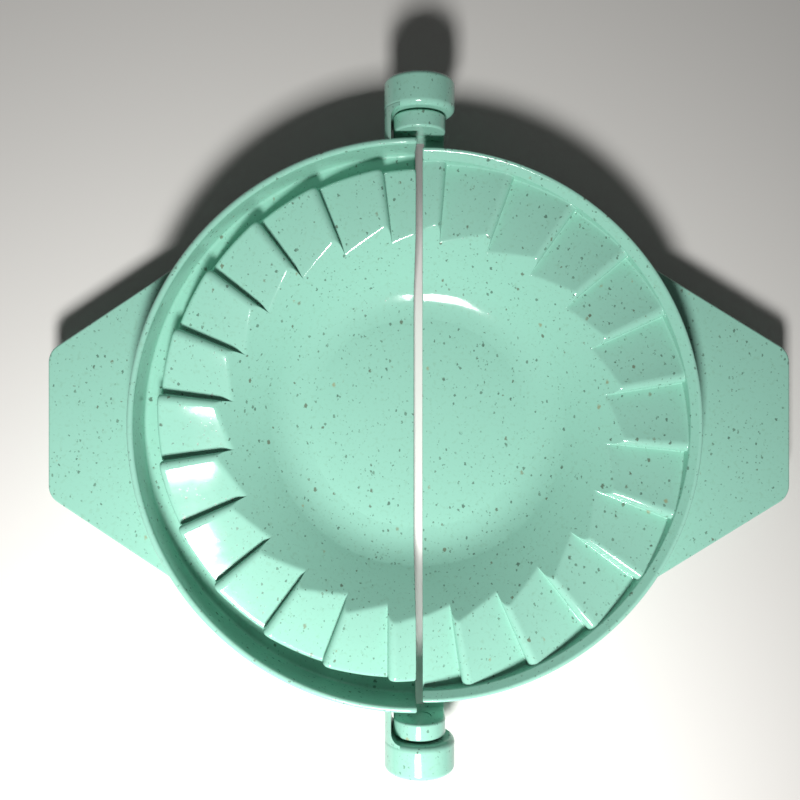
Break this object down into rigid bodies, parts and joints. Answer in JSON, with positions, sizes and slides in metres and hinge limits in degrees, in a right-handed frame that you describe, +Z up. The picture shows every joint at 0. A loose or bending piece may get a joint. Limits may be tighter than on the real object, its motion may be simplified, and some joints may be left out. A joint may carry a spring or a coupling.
{
  "type": "empanada press",
  "caption": "Hinged plastic hand press for filled dough pockets: two half bowls with sawtooth crimping rings, a cutting rim, a channel and flat side handles.",
  "frame": {"origin": "on the table under the middle of the hinge line, with the press open flat", "axes": "+X from the channelled half to the rimmed half, +Y along the hinge line, +Z up, out of the bowls"},
  "size_m": [0.132, 0.1186, 0.0188],
  "materials": {
    "flecked_plastic": "glossy moulded plastic with natural husk flecks"
  },
  "bodies": {
    "channel_half": {"channel_half": "flecked_plastic"},
    "rim_half": {"rim_half": "flecked_plastic"}
  },
  "joints": [
    {"name": "hinge", "type": "hinge", "parent": "channel_half", "child": "rim_half", "pos_m": [0, 0, 0.0127], "axis": [0, -1, 0], "range_deg": [0, 180]}
  ]
}
